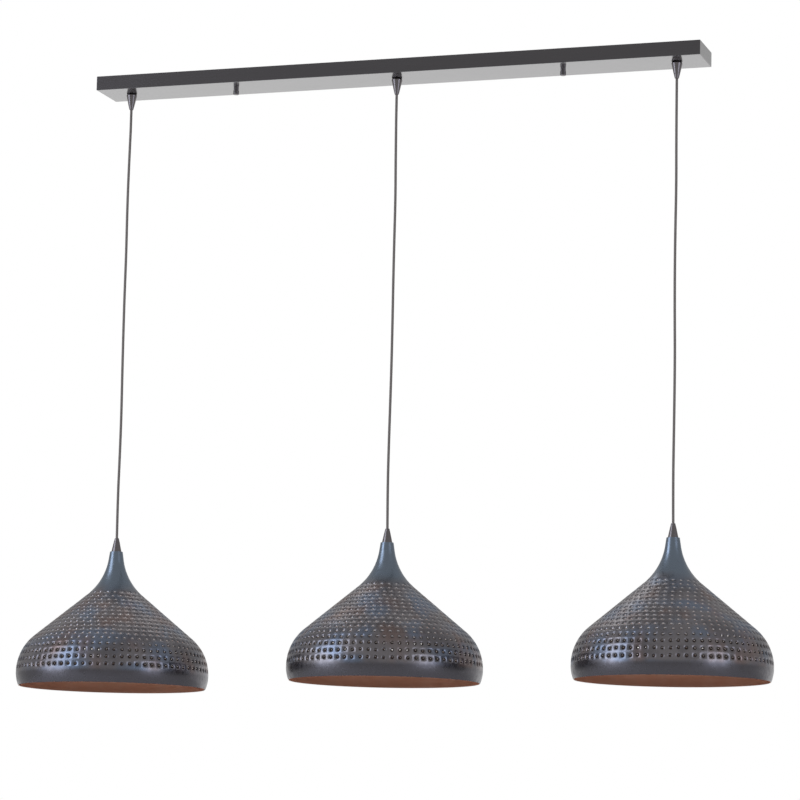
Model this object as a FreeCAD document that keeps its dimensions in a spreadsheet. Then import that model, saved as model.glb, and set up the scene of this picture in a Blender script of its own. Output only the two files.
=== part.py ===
import FreeCAD, Part
import math
import os

import Sketcher
from FreeCAD import Placement, Rotation, Vector

# A linear island pendant: three spun shades on cords under one long flat canopy.
# The origin is the middle of the canopy's open top, where it meets the ceiling.
# X runs along the canopy, -Y faces the room and +Z is up.  Sizes are in millimetres.

DRIVING_DIMENSIONS = {
    # Canopy: a shallow folded tray, open towards the ceiling
    "canopy_length": 1100,
    "canopy_width": 90,
    "canopy_height": 25,
    "canopy_sheet": 1.2,
    "canopy_edge_radius": 1,
    # Ceiling bracket: a flat strap, and the two studs that the canopy hangs on
    "bracket_length": 640,
    "bracket_width": 24,
    "bracket_thickness": 1.5,
    "bracket_fixing_spacing": 440,
    "bracket_fixing_hole": 5.4,
    "bracket_cable_hole": 14,
    "bracket_cable_offset": 165,
    "stud_diameter": 5,
    "stud_spacing": 600,
    "stud_engagement": 8,
    "stud_nut_flats": 8,
    "stud_nut_height": 4,
    "thumb_nut_height": 11.5,
    "thumb_nut_collar_diameter": 9,
    "thumb_nut_collar_height": 3.2,
    "thumb_nut_groove_diameter": 8,
    "thumb_nut_groove_width": 1,
    "thumb_nut_knob_diameter": 10,
    # Where the pendants hang: from the canopy's underside to the lower grip's nose
    "pendant_end_inset": 50,
    "drop_left": 800,
    "drop_centre": 790,
    "drop_right": 788,
    # Cord, and the short stretch of it that bends first when a pendant swings
    "cord_diameter": 4.5,
    "cord_bend_length": 40,
    "cord_pivot_drop": 1,
    "cord_entry": 4,
    "inner_cord_radius": 13.5,
    # Cord grip: a turned cone, used point down above and point up below
    "grip_height": 28,
    "grip_base_diameter": 16.4,
    "grip_wide_diameter": 18.9,
    "grip_wide_height": 2,
    "grip_shoulder_diameter": 10.8,
    "grip_shoulder_height": 20.5,
    "grip_nose_diameter": 7,
    "grip_thread_depth": 9,
    "grip_screw_height": 20,
    "grip_screw_diameter": 3,
    # Threaded tube and its flat nuts and washers
    "nipple_diameter": 10,
    "nipple_end_gap": 0.5,
    "canopy_nipple_length": 14,
    "lock_nut_flats": 14,
    "lock_nut_height": 3,
    "washer_diameter": 18,
    "washer_thickness": 1,
    # Shade: spun from sheet, flared neck, straight cone, round shoulder, rim turned in.
    # A rounding is how far a round corner reaches along its two sides.
    "shade_diameter": 335,
    "shade_height": 238,
    "shade_sheet": 1,
    "shade_neck_height": 52,
    "shade_neck_spread": 7.8,
    "shade_flare_rounding": 38.1,
    "shade_shoulder_rounding": 38.5,
    "shade_belly_height": 0.9,
    "shade_rim_rounding": 10.1,
    "shade_rim_height": 13,
    "shade_rim_inset": 4.5,
    "shade_seat_depth": 4,
    "shade_seat_thickness": 1.2,
    # Lampholder for a 27 mm screw lamp, hanging on the lower threaded tube
    "holder_drop": 44,
    "holder_diameter": 39,
    "holder_wall": 2,
    "holder_boss_diameter": 16,
    "holder_boss_height": 3,
    "holder_roof": 4,
    "holder_round": 7,
    "holder_cap_height": 25,
    "holder_skirt_height": 35,
    "holder_mouth_diameter": 37.2,
    "holder_spigot_height": 6,
    "holder_flange_height": 4,
    "holder_core_height": 15,
    "screw_shell_bore": 26.6,
    "screw_shell_wall": 0.4,
    "screw_shell_height": 22,
    "screw_shell_opening": 12,
    "screw_shell_gap": 1.1,
    "contact_diameter": 7,
    "contact_recess": 2.3,
    "contact_stand": 0.2,
    # Wiring inside the canopy
    "terminal_offset": 110,
    "terminal_length": 20,
    "terminal_width": 6.4,
    "terminal_height": 12,
    "terminal_pitch": 8,
    "terminal_web_height": 6,
    "terminal_screw_diameter": 3,
    "terminal_screw_spacing": 10,
    "earth_stud_offset": 215,
    "earth_stud_diameter": 4,
    "earth_stud_height": 10,
    "earth_nut_flats": 7,
    "earth_nut_height": 3.2,
    # Clearances, each measured on the radius
    "thread_clearance": 0.1,
    "hole_clearance": 0.2,
    "cord_clearance": 0.45,
    "nipple_clearance": 1,
    "cord_gap": 0.3,
    "neck_clearance": 0.7,
}

doc = FreeCAD.newDocument("linear_island_pendant")
sheet = doc.addObject("Spreadsheet::Sheet", "sizes")
for row, (alias, number) in enumerate(DRIVING_DIMENSIONS.items(), start=1):
    sheet.set(f"A{row}", alias)
    sheet.set(f"B{row}", str(number))
    sheet.setAlias(f"B{row}", alias)
doc.recompute()

subparts = []

UNDERSIDE = "(-sizes.canopy_height)"
FLOOR = "(-sizes.canopy_height + sizes.canopy_sheet)"
PIVOT = "(-sizes.canopy_height - sizes.grip_height - sizes.cord_pivot_drop)"
GRIP_BORE = "(sizes.cord_diameter / 2 + sizes.cord_clearance)"
THREAD_HOLE = "(sizes.nipple_diameter / 2 + sizes.thread_clearance)"
NIPPLE_FOOT = "(-sizes.canopy_height - sizes.grip_thread_depth + sizes.nipple_end_gap)"
PASS_HOLE = "(sizes.nipple_diameter / 2 + sizes.hole_clearance)"
NIPPLE_BORE = "(sizes.cord_diameter / 2 + sizes.nipple_clearance)"

SPACING = "(sizes.canopy_length / 2 - sizes.pendant_end_inset)"

PENDANTS = {
    "left": (f"(-{SPACING})", "sizes.drop_left"),
    "centre": ("0", "sizes.drop_centre"),
    "right": (SPACING, "sizes.drop_right"),
}


def size(expression):
    """An expression of the sheet's values, worked out."""
    return float(sheet.evalExpression(str(expression)))


def place(part, x="0", z="0", y="0"):
    """Binds the place of a piece to the sheet."""
    part.setExpression("Placement.Base.x", x)
    part.setExpression("Placement.Base.y", y)
    part.setExpression("Placement.Base.z", z)


def keep(label, part):
    """Names a finished piece as a sub-part."""
    part.Label = label
    subparts.append(part)


def new_body(label, x="0", z="0"):
    """A new sub-part, built from sketches in its own frame."""
    body = doc.addObject("PartDesign::Body", label)
    place(body, x, z)
    keep(label, body)
    return body


def new_sketch(body, name, plane, height="0"):
    """A sketch on one of the body's origin planes, raised by a height."""
    sketch = body.newObject("Sketcher::SketchObject", f"{body.Name}_{name}")
    origin_planes = {feature.Role: feature for feature in body.Origin.OriginFeatures}
    sketch.AttachmentSupport = [(origin_planes[plane], "")]
    sketch.MapMode = "FlatFace"
    sketch.setExpression("AttachmentOffset.Base.z", height)
    return sketch


def pin(sketch, geometry, end, across, up):
    """Holds one point of a sketch at a place bound to the sheet."""
    for kind, axis, expression in (("DistanceX", -2, across), ("DistanceY", -1, up)):
        if expression == "0":
            sketch.addConstraint(Sketcher.Constraint("PointOnObject", geometry, end, axis))
            continue
        constraint = Sketcher.Constraint(kind, -1, 1, geometry, end, size(expression))
        index = sketch.addConstraint(constraint)
        sketch.setExpression(f"Constraints[{index}]", expression)


def rounded_corner(before, corner, after, radius):
    """Start, middle and end of the arc that rounds a corner."""
    back = (before - corner).normalize()
    onward = (after - corner).normalize()
    half = back.getAngle(onward) / 2
    run = radius / math.tan(half)
    bisector = (back + onward).normalize()
    middle = corner + bisector * (radius / math.sin(half) - radius)
    return corner + back * run, middle, corner + onward * run


def draw_outline(sketch, corners):
    """A closed outline of straight sides.  A corner may have a radius as its third value."""
    points = [Vector(size(corner[0]), size(corner[1]), 0) for corner in corners]
    count = len(corners)
    arrive = list(points)
    leave = list(points)
    arcs = {}
    for i, corner in enumerate(corners):
        if len(corner) > 2:
            after = points[(i + 1) % count]
            arcs[i] = rounded_corner(points[i - 1], points[i], after, size(corner[2]))
            arrive[i] = arcs[i][0]
            leave[i] = arcs[i][2]
    sides = []
    for i in range(count):
        side = Part.LineSegment(leave[i], arrive[(i + 1) % count])
        sides.append(sketch.addGeometry(side))
    for i, corner in enumerate(corners):
        if i not in arcs:
            sketch.addConstraint(Sketcher.Constraint("Coincident", sides[i - 1], 2, sides[i], 1))
            pin(sketch, sides[i], 1, corner[0], corner[1])
            continue
        arc = sketch.addGeometry(Part.Arc(*arcs[i]))
        first = 1
        if (sketch.getPoint(arc, 1) - arrive[i]).Length > (sketch.getPoint(arc, 2) - arrive[i]).Length:
            first = 2
        last = 3 - first
        vertex = sketch.addGeometry(Part.Point(points[i]), True)
        pin(sketch, vertex, 1, corner[0], corner[1])
        sketch.addConstraint(Sketcher.Constraint("PointOnObject", vertex, 1, sides[i - 1]))
        sketch.addConstraint(Sketcher.Constraint("PointOnObject", vertex, 1, sides[i]))
        sketch.addConstraint(Sketcher.Constraint("Tangent", sides[i - 1], 2, arc, first))
        sketch.addConstraint(Sketcher.Constraint("Tangent", arc, last, sides[i], 1))
        index = sketch.addConstraint(Sketcher.Constraint("Radius", arc, size(corner[2])))
        sketch.setExpression(f"Constraints[{index}]", corner[2])


def draw_circle(sketch, across, up, radius):
    """A circle whose centre and radius are bound to the sheet."""
    centre = Vector(size(across), size(up), 0)
    circle = sketch.addGeometry(Part.Circle(centre, Vector(0, 0, 1), size(radius)))
    pin(sketch, circle, 3, across, up)
    index = sketch.addConstraint(Sketcher.Constraint("Radius", circle, size(radius)))
    sketch.setExpression(f"Constraints[{index}]", radius)


def rectangle(length, width):
    """Corners of a rectangle about the sketch's origin."""
    return [
        (f"-({length}) / 2", f"-({width}) / 2"),
        (f"({length}) / 2", f"-({width}) / 2"),
        (f"({length}) / 2", f"({width}) / 2"),
        (f"-({length}) / 2", f"({width}) / 2"),
    ]


def turn(body, corners):
    """Turns an outline, drawn in radius and height, about the vertical axis."""
    sketch = new_sketch(body, "profile", "XZ_Plane")
    draw_outline(sketch, corners)
    revolution = body.newObject("PartDesign::Revolution", f"{body.Name}_turned")
    revolution.Profile = sketch
    revolution.ReferenceAxis = (sketch, ["V_Axis"])
    revolution.Angle = 360
    return revolution


def pad(body, sketch, length, downwards=False):
    """Thickens a sketch into a solid."""
    feature = body.newObject("PartDesign::Pad", f"{sketch.Name}_pad")
    feature.Profile = sketch
    feature.setExpression("Length", length)
    feature.Reversed = downwards
    return feature


def pocket(body, sketch, depth, other_way=False):
    """Cuts a sketch into the solid, and makes sure that something was cut."""
    doc.recompute()
    before = body.Shape.Volume
    feature = body.newObject("PartDesign::Pocket", f"{sketch.Name}_cut")
    feature.Profile = sketch
    feature.setExpression("Length", depth)
    feature.Reversed = other_way
    doc.recompute()
    if body.Shape.Volume >= before:
        raise RuntimeError(f"{feature.Name} cuts nothing")
    return feature


def cylinder(radius, height, x="0", z="0", y="0"):
    """A plain cylinder, standing up."""
    part = doc.addObject("Part::Cylinder", "rod")
    part.setExpression("Radius", radius)
    part.setExpression("Height", height)
    place(part, x, z, y)
    return part


def tube(radius, bore, height, x="0", z="0", y="0"):
    """A cylinder with a bore."""
    part = doc.addObject("Part::Cut", "tube")
    part.Base = cylinder(radius, height, x, z, y)
    part.Tool = cylinder(bore, height, x, z, y)
    return part


def hex_nut(flats, bore, height, x="0", z="0", y="0"):
    """A six-sided nut with a plain bore."""
    prism = doc.addObject("Part::Prism", "hexagon")
    prism.Polygon = 6
    prism.setExpression("Circumradius", f"({flats}) / sqrt(3)")
    prism.setExpression("Height", height)
    place(prism, x, z, y)
    part = doc.addObject("Part::Cut", "nut")
    part.Base = prism
    part.Tool = cylinder(bore, height, x, z, y)
    return part


def group(label, members):
    """Like fasteners that share one sub-part."""
    part = doc.addObject("Part::Compound", label)
    part.Links = members
    keep(label, part)


# Canopy


def make_canopy():
    """A folded tray with a hole for each pendant and each stud."""
    body = new_body("canopy")
    outside = new_sketch(body, "outside", "XY_Plane")
    draw_outline(outside, rectangle("sizes.canopy_length", "sizes.canopy_width"))
    block = pad(body, outside, "sizes.canopy_height", downwards=True)
    doc.recompute()
    top = size("sizes.canopy_edge_radius") / 2
    edges = [
        f"Edge{i}"
        for i, edge in enumerate(block.Shape.Edges, start=1)
        if edge.BoundBox.ZMin < -top
    ]
    folds = body.newObject("PartDesign::Fillet", "canopy_folds")
    folds.Base = (block, edges)
    folds.setExpression("Radius", "sizes.canopy_edge_radius")
    inside = new_sketch(body, "inside", "XY_Plane")
    inner_length = "sizes.canopy_length - 2 * sizes.canopy_sheet"
    inner_width = "sizes.canopy_width - 2 * sizes.canopy_sheet"
    draw_outline(inside, rectangle(inner_length, inner_width))
    pocket(body, inside, "sizes.canopy_height - sizes.canopy_sheet")
    holes = new_sketch(body, "holes", "XY_Plane")
    for across, drop in PENDANTS.values():
        draw_circle(holes, across, "0", PASS_HOLE)
    for side in ("-", ""):
        stud_hole = "sizes.stud_diameter / 2 + sizes.hole_clearance"
        draw_circle(holes, f"{side}sizes.stud_spacing / 2", "0", stud_hole)
    pocket(body, holes, "sizes.canopy_height")


def make_bracket():
    """The ceiling strap with its fixing, stud and cable holes."""
    body = new_body("ceiling_bracket")
    strap = new_sketch(body, "strap", "XY_Plane")
    draw_outline(strap, rectangle("sizes.bracket_length", "sizes.bracket_width"))
    pad(body, strap, "sizes.bracket_thickness", downwards=True)
    holes = new_sketch(body, "holes", "XY_Plane")
    for side in ("-", ""):
        fixing = f"{side}sizes.bracket_fixing_spacing / 2"
        draw_circle(holes, fixing, "0", "sizes.bracket_fixing_hole / 2")
        stud_hole = "sizes.stud_diameter / 2 + sizes.thread_clearance"
        draw_circle(holes, f"{side}sizes.stud_spacing / 2", "0", stud_hole)
    draw_circle(holes, "-sizes.bracket_cable_offset", "0", "sizes.bracket_cable_hole / 2")
    pocket(body, holes, "sizes.bracket_thickness")


def make_studs():
    """Two studs through the bracket, each locked by a nut under it."""
    reach = "sizes.canopy_height + sizes.stud_engagement"
    studs = []
    nuts = []
    for side in ("-", ""):
        x = f"{side}sizes.stud_spacing / 2"
        studs.append(cylinder("sizes.stud_diameter / 2", reach, x, f"-({reach})"))
        bore = "sizes.stud_diameter / 2 + sizes.thread_clearance"
        z = "-sizes.bracket_thickness - sizes.stud_nut_height"
        nuts.append(hex_nut("sizes.stud_nut_flats", bore, "sizes.stud_nut_height", x, z))
    group("bracket_studs", studs)
    group("stud_nuts", nuts)


def make_thumb_nut(label, x):
    """A round hand nut: a collar, a groove and a wider knob, bored blind from above."""
    body = new_body(label, x, UNDERSIDE)
    bore = "sizes.stud_diameter / 2 + sizes.thread_clearance"
    depth = "-(sizes.stud_engagement + sizes.nipple_end_gap)"
    groove_top = "-sizes.thumb_nut_collar_height"
    groove_end = "-(sizes.thumb_nut_collar_height + sizes.thumb_nut_groove_width)"
    base = "-sizes.thumb_nut_height"
    knob = "sizes.thumb_nut_knob_diameter / 2"
    turn(body, [
        (bore, "0"),
        (bore, depth),
        ("0", depth),
        ("0", base),
        (knob, base, "sizes.thumb_nut_groove_width"),
        (knob, groove_end),
        ("sizes.thumb_nut_groove_diameter / 2", groove_end),
        ("sizes.thumb_nut_groove_diameter / 2", groove_top),
        ("sizes.thumb_nut_collar_diameter / 2", groove_top),
        ("sizes.thumb_nut_collar_diameter / 2", "0"),
    ])


# Cord grips


def make_grip(label, x, z, nose_up):
    """The turned cone that holds a cord, with its base on z=0 and its nose above."""
    body = new_body(label, x, z)
    if not nose_up:
        body.Placement = Placement(body.Placement.Base, Rotation(Vector(1, 0, 0), 180))
    turn(body, [
        (THREAD_HOLE, "0"),
        ("sizes.grip_base_diameter / 2", "0"),
        ("sizes.grip_wide_diameter / 2", "sizes.grip_wide_height", "sizes.grip_wide_height / 2"),
        ("sizes.grip_shoulder_diameter / 2", "sizes.grip_shoulder_height", "sizes.grip_wide_height * 3"),
        ("sizes.grip_nose_diameter / 2", "sizes.grip_height"),
        (GRIP_BORE, "sizes.grip_height"),
        (GRIP_BORE, "sizes.grip_thread_depth"),
        (THREAD_HOLE, "sizes.grip_thread_depth"),
    ])
    hole = new_sketch(body, "screw_hole", "YZ_Plane")
    screw_hole = "sizes.grip_screw_diameter / 2 + sizes.thread_clearance"
    draw_circle(hole, "0", "sizes.grip_screw_height", screw_hole)
    pocket(body, hole, "sizes.grip_wide_diameter")


def grip_screw(x, z):
    """The grub screw that pinches the cord, lying along X on the grip's left side."""
    part = doc.addObject("Part::Cylinder", "grub_screw")
    part.setExpression("Radius", "sizes.grip_screw_diameter / 2")
    slope_drop = "(sizes.grip_shoulder_diameter - sizes.grip_screw_diameter / 2) / 2"
    part.setExpression("Height", f"{slope_drop} - sizes.cord_diameter / 2")
    part.Placement = Placement(Vector(0, 0, 0), Rotation(Vector(0, 1, 0), 90))
    place(part, f"{x} - {slope_drop}", z)
    return part


def make_upper_grips():
    """The three grips under the canopy, with the tubes, nuts and washers that hold them."""
    screws = []
    nipples = []
    nuts = []
    washers = []
    for side, (x, drop) in PENDANTS.items():
        make_grip(f"upper_grip_{side}", x, UNDERSIDE, nose_up=False)
        screws.append(grip_screw(x, f"{UNDERSIDE} - sizes.grip_screw_height"))
        length = "sizes.canopy_nipple_length"
        nipples.append(tube("sizes.nipple_diameter / 2", NIPPLE_BORE, length, x, NIPPLE_FOOT))
        disc = ("sizes.washer_diameter / 2", PASS_HOLE, "sizes.washer_thickness")
        washers.append(tube(*disc, x, FLOOR))
        nut = ("sizes.lock_nut_flats", THREAD_HOLE, "sizes.lock_nut_height")
        nuts.append(hex_nut(*nut, x, f"{FLOOR} + sizes.washer_thickness"))
    group("upper_grip_screws", screws)
    group("canopy_nipples", nipples)
    group("canopy_lock_nuts", nuts)
    group("canopy_washers", washers)


# Wiring inside the canopy


def make_terminal_block():
    """Three terminals side by side under the bracket, joined by a low web."""
    body = new_body("terminal_block", "sizes.terminal_offset", "-sizes.bracket_thickness")
    web = new_sketch(body, "web", "XY_Plane")
    width = "2 * sizes.terminal_pitch + sizes.terminal_width"
    draw_outline(web, rectangle("sizes.terminal_length / 2", width))
    pad(body, web, "sizes.terminal_web_height", downwards=True)
    for place_number in (-1, 0, 1):
        pole = new_sketch(body, f"pole{place_number + 2}", "XY_Plane")
        y = f"({place_number} * sizes.terminal_pitch)"
        near = f"{y} - sizes.terminal_width / 2"
        far = f"{y} + sizes.terminal_width / 2"
        draw_outline(pole, [
            ("-sizes.terminal_length / 2", near),
            ("sizes.terminal_length / 2", near),
            ("sizes.terminal_length / 2", far),
            ("-sizes.terminal_length / 2", far),
        ])
        pad(body, pole, "sizes.terminal_height", downwards=True)
    screw_holes = new_sketch(body, "screw_holes", "XY_Plane", "-sizes.terminal_height")
    for place_number in (-1, 0, 1):
        for side in ("-", ""):
            x = f"{side}sizes.terminal_screw_spacing / 2"
            y = f"({place_number} * sizes.terminal_pitch)" if place_number else "0"
            draw_circle(screw_holes, x, y, "sizes.terminal_screw_diameter / 2 + sizes.thread_clearance")
    pocket(body, screw_holes, "sizes.terminal_screw_diameter", other_way=True)


def make_terminal_screws():
    """Six screws, sunk in the block's lower face."""
    screws = []
    for place_number in (-1, 0, 1):
        for side in ("-", "+"):
            x = f"sizes.terminal_offset {side} sizes.terminal_screw_spacing / 2"
            y = f"{place_number} * sizes.terminal_pitch"
            z = "-sizes.bracket_thickness - sizes.terminal_height"
            height = "sizes.terminal_screw_diameter"
            screws.append(cylinder("sizes.terminal_screw_diameter / 2", height, x, z, y))
    group("terminal_screws", screws)


def make_earth_stud():
    """A stud on the canopy's floor with two nuts, for the earth wire."""
    x = "sizes.earth_stud_offset"
    radius = "sizes.earth_stud_diameter / 2"
    stud = cylinder(radius, "sizes.earth_stud_height", x, FLOOR)
    nut = ("sizes.earth_nut_flats", f"{radius} + sizes.thread_clearance", "sizes.earth_nut_height")
    lower = hex_nut(*nut, x, FLOOR)
    upper = hex_nut(*nut, x, f"{FLOOR} + sizes.earth_nut_height")
    keep("earth_stud", stud)
    group("earth_nuts", [lower, upper])


def cord_path(points, radii):
    """A wire of straight runs joined by tangent arcs."""
    edges = []
    start = points[0]
    for i in range(1, len(points) - 1):
        first, middle, last = rounded_corner(points[i - 1], points[i], points[i + 1], radii[i - 1])
        edges.append(Part.LineSegment(start, first).toShape())
        edges.append(Part.Arc(first, middle, last).toShape())
        start = last
    edges.append(Part.LineSegment(start, points[-1]).toShape())
    return Part.Wire(edges)


def make_inner_cord(label, points, first_radius):
    """The end of a cord inside the canopy: a tight turn over the tube, then easy ones."""
    radii = [first_radius]
    for i in range(2, len(points) - 1):
        back = points[i - 1] - points[i]
        onward = points[i + 1] - points[i]
        bend = math.pi - back.getAngle(onward)
        shorter = min(back.Length, onward.Length)
        radii.append(0.45 * shorter / math.tan(bend / 2))
    path = cord_path(points, radii)
    radius = size("sizes.cord_diameter") / 2
    circle = Part.Circle(points[0], Vector(0, 0, 1), radius)
    section = Part.Wire([circle.toShape()])
    shape = path.makePipeShell([section], True, False)
    expected = math.pi * radius ** 2 * path.Length
    print(label, "length", round(path.Length, 1), "radii", [round(value, 1) for value in radii])
    print(label, "volume over section times length", round(shape.Volume / expected, 4))
    part = doc.addObject("Part::Feature", label)
    part.Shape = shape
    keep(label, part)


def make_inner_cords():
    """From the upper grips to the terminal block, lying on the canopy's floor with some slack."""
    foot = size(f"{PIVOT} + sizes.cord_diameter / 2 + sizes.cord_gap")
    bend = size("sizes.inner_cord_radius")
    over = size(f"{NIPPLE_FOOT} + sizes.canopy_nipple_length") + bend
    floor = size(f"{FLOOR} + sizes.cord_diameter / 2 + sizes.cord_gap")
    block = size("-sizes.bracket_thickness - sizes.terminal_height / 2")
    near_face = size("sizes.terminal_offset - sizes.terminal_length / 2")
    far_face = size("sizes.terminal_offset + sizes.terminal_length / 2")
    pitch = size("sizes.terminal_pitch")
    spacing = size(SPACING)
    # Start, end, terminal, and where the cord strays: a share of the way, and so many bend radii.
    runs = {
        "left": (-spacing, near_face, -pitch, [(0.17, -1), (0.36, -1.4), (0.6, -1.1), (0.86, -1.4)]),
        "centre": (0, near_face, pitch, []),
        "right": (spacing, far_face, 0, [(0.28, 1.1), (0.6, 1.3), (0.82, 0.9)]),
    }
    for side, (start, end, terminal, strays) in runs.items():
        way = end - start
        step = math.copysign(bend, way)
        points = [Vector(start, 0, foot), Vector(start, 0, over), Vector(start + 3 * step, 0, over)]
        points += [Vector(start + share * way, stray * bend, floor) for share, stray in strays]
        points += [Vector(end - 2 * step, terminal, block), Vector(end, terminal, block)]
        make_inner_cord(f"inner_cord_{side}", points, bend)


# Cords that hang free


def make_hanging_cord(label, x, top, length):
    """A straight round cord whose top end is a half ball about the point it swings on."""
    body = new_body(label, x, top)
    radius = "sizes.cord_diameter / 2"
    rod = body.newObject("PartDesign::AdditiveCylinder", f"{label}_rod")
    rod.setExpression("Radius", radius)
    rod.setExpression("Height", length)
    rod.setExpression("AttachmentOffset.Base.z", f"-({length})")
    rod.AttachmentSupport = [(body.Origin.OriginFeatures[3], "")]
    rod.MapMode = "FlatFace"
    ball = body.newObject("PartDesign::AdditiveSphere", f"{label}_end")
    ball.setExpression("Radius", radius)
    ball.AttachmentSupport = [(body.Origin.OriginFeatures[3], "")]
    ball.MapMode = "FlatFace"


def make_cords(side, x, drop):
    """The short bending stretch under the canopy and the long hanging stretch."""
    bend_length = "sizes.cord_bend_length - sizes.cord_diameter / 2 - sizes.cord_gap"
    make_hanging_cord(f"cord_bend_{side}", x, PIVOT, bend_length)
    top = f"{PIVOT} - sizes.cord_bend_length"
    mouth = f"({UNDERSIDE} - {drop} - sizes.cord_entry)"
    make_hanging_cord(f"cord_{side}", x, top, f"{top} - {mouth}")


# Shade and lampholder.  A pendant's own height zero is the seat under its lower grip.


def make_shade(label, x, seat):
    """A spun shade standing on its rim, with a sunk seat for the grip in its neck."""
    body = new_body(label, x, f"{seat} + sizes.shade_seat_depth - sizes.shade_height")
    neck = "(sizes.grip_wide_diameter / 2 + sizes.neck_clearance + sizes.shade_sheet)"
    flare = f"({neck} + sizes.shade_neck_spread)"
    flare_height = "(sizes.shade_height - sizes.shade_neck_height)"
    belly_top = "(sizes.shade_rim_height + sizes.shade_rim_rounding + sizes.shade_belly_height)"
    shoulder_height = f"({belly_top} + sizes.shade_shoulder_rounding)"
    # How far each stretch leans from the vertical, and from that the radii of the round corners
    neck_lean = "atan(sizes.shade_neck_spread / sizes.shade_neck_height)"
    cone_width = f"(sizes.shade_diameter / 2 - {flare})"
    cone_lean = f"atan({cone_width} / ({flare_height} - {shoulder_height}))"
    rim_lean = "atan(sizes.shade_rim_inset / sizes.shade_rim_height)"
    flare_radius = f"sizes.shade_flare_rounding / tan(({cone_lean} - {neck_lean}) / 2)"
    shoulder_radius = f"sizes.shade_shoulder_rounding / tan({cone_lean} / 2)"
    rim_radius = f"sizes.shade_rim_rounding / tan({rim_lean} / 2)"
    spun = turn(body, [
        ("0", "0"),
        ("sizes.shade_diameter / 2 - sizes.shade_rim_inset", "0"),
        ("sizes.shade_diameter / 2", "sizes.shade_rim_height", rim_radius),
        ("sizes.shade_diameter / 2", shoulder_height, shoulder_radius),
        (flare, flare_height, flare_radius),
        (neck, "sizes.shade_height"),
        ("0", "sizes.shade_height"),
    ])
    doc.recompute()
    ends = [
        f"Face{i}"
        for i, face in enumerate(spun.Shape.Faces, start=1)
        if face.Surface.TypeId == "Part::GeomPlane"
    ]
    shell = body.newObject("PartDesign::Thickness", f"{label}_shell")
    shell.Base = (spun, ends)
    shell.setExpression("Value", "sizes.shade_sheet")
    shell.Reversed = True
    seat_bottom = "sizes.shade_height - sizes.shade_seat_depth - sizes.shade_seat_thickness"
    widening = "sizes.shade_seat_depth * sizes.shade_neck_spread / sizes.shade_neck_height"
    disc = new_sketch(body, "seat", "XY_Plane", seat_bottom)
    draw_circle(disc, "0", "0", f"{neck} - sizes.shade_sheet / 2 + {widening}")
    pad(body, disc, "sizes.shade_seat_thickness")
    hole = new_sketch(body, "hole", "XY_Plane", "sizes.shade_height - sizes.shade_seat_depth")
    draw_circle(hole, "0", "0", PASS_HOLE)
    pocket(body, hole, "sizes.shade_seat_thickness")


def make_nipple(side, x, seat):
    """The threaded tube from the grip to the lampholder, and its two flat nuts."""
    top = "(sizes.grip_thread_depth - sizes.nipple_end_gap)"
    bottom = "(sizes.holder_drop + sizes.holder_boss_height + sizes.holder_roof)"
    length = f"{top} + {bottom}"
    rod = tube("sizes.nipple_diameter / 2", NIPPLE_BORE, length, x, f"{seat} - {bottom}")
    keep(f"nipple_{side}", rod)
    nut = ("sizes.lock_nut_flats", THREAD_HOLE, "sizes.lock_nut_height")
    under_seat = f"{seat} - sizes.shade_seat_thickness - sizes.lock_nut_height"
    shade_nut = hex_nut(*nut, x, under_seat)
    holder_nut = hex_nut(*nut, x, f"{seat} - sizes.holder_drop")
    group(f"nipple_nuts_{side}", [shade_nut, holder_nut])


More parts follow.
